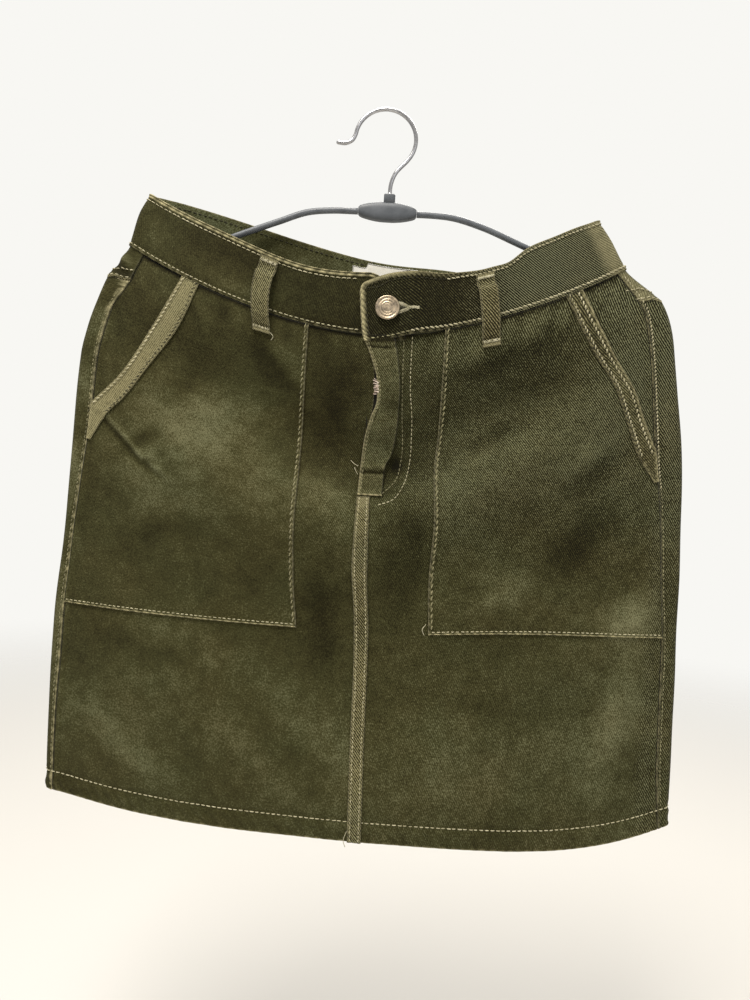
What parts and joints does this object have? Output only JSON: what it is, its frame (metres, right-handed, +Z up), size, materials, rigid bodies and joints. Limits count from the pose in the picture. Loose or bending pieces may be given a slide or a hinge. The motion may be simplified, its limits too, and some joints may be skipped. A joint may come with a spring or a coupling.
{
  "type": "cargo utility skirt on a wire hanger",
  "caption": "Short A-line twill skirt with patch pockets, faced slant mouths, zip fly and belt loops, hung by its waistband from a wire hanger.",
  "frame": {"origin": "inner crown of the hanger's hook, where it bears on a rail", "axes": "+Z up along the skirt's length, -Y out of the front, +X to the right as seen from the front"},
  "size_m": [0.4618, 0.0465, 0.5341],
  "materials": {
    "twill": "washed cotton twill",
    "worn_twill": "washed cotton twill, worn pale",
    "zip_tape": "woven tape",
    "label": "woven satin",
    "brass": "worn",
    "steel": "polished wire",
    "grey_plastic": "moulded",
    "grey_vinyl": "satin dipped"
  },
  "bodies": {
    "root": {"front_panel_left": "twill", "front_panel_right": "twill", "back_panel": "twill", "back_yoke": "twill", "waistband_underlap": "twill", "waistband_overlap": "twill", "waistband_back_left": "twill", "waistband_back_right": "twill", "pocket_left": "twill", "pocket_right": "twill", "pocket_facing_left": "worn_twill", "pocket_facing_right": "worn_twill", "fly_placket": "worn_twill", "centre_front_seam": "worn_twill", "belt_loop_front_left": "worn_twill", "belt_loop_front_right": "worn_twill", "belt_loop_back_left": "worn_twill", "belt_loop_back_centre": "worn_twill", "belt_loop_back_right": "worn_twill", "zip_tape": "zip_tape", "label": "label", "button": "brass", "hanger_hook": "steel", "hanger_centre": "grey_plastic", "hanger_arm_left": "grey_vinyl", "hanger_arm_right": "grey_vinyl"}
  },
  "joints": []
}
